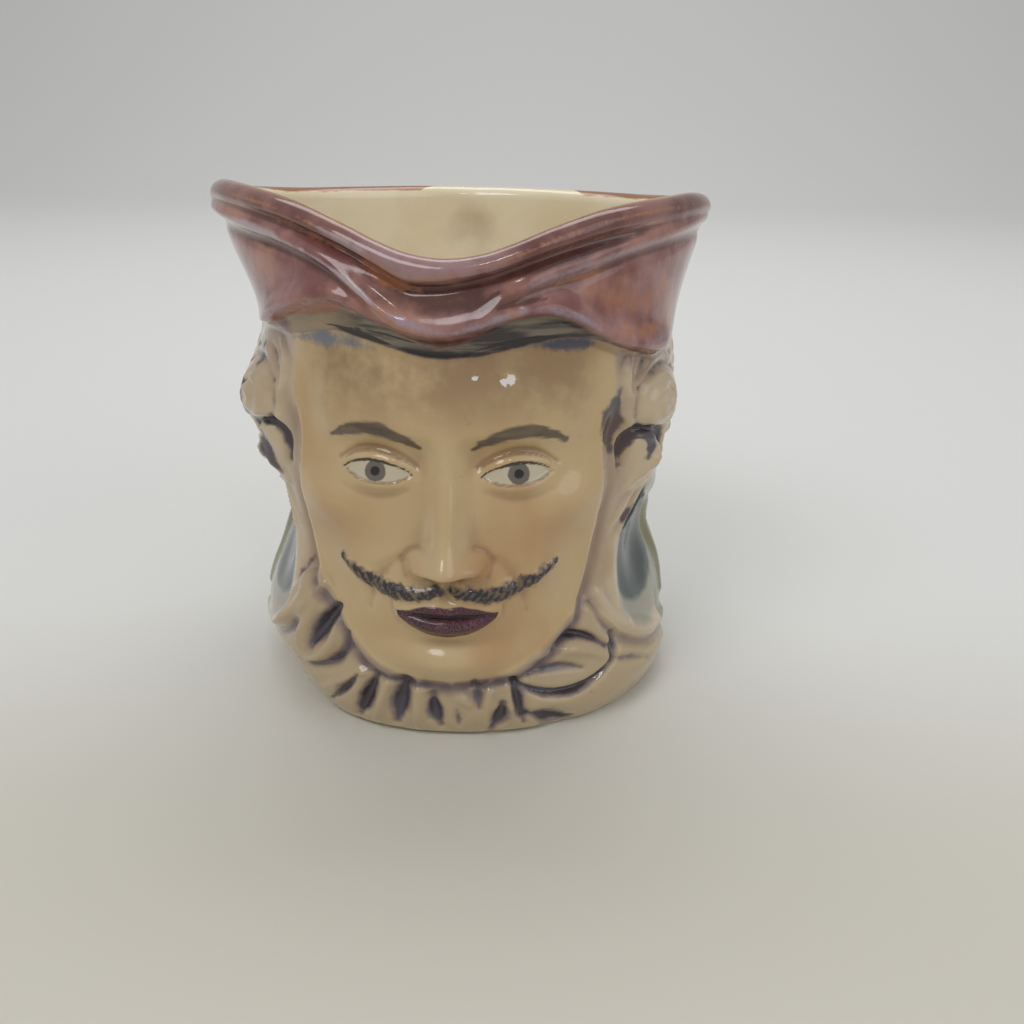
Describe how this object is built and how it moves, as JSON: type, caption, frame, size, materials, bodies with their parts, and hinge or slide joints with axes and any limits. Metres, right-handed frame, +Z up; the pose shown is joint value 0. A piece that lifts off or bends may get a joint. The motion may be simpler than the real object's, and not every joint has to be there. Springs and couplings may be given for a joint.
{
  "type": "toby jug",
  "caption": "Small glazed ceramic drinking jug shaped as a moustached cavalier's head, with a tipped hat for its rim and a loop handle at the back.",
  "frame": {"origin": "under the middle of the whole jug's box, in the plane of the table", "axes": "+Z up, the face looks along -Y, the handle stands off along +Y, and the tips of the hat point along -X and +X"},
  "size_m": [0.0842, 0.1028, 0.085],
  "materials": {
    "glaze": "gloss"
  },
  "bodies": {
    "root": {"jug": "glaze"}
  },
  "joints": []
}
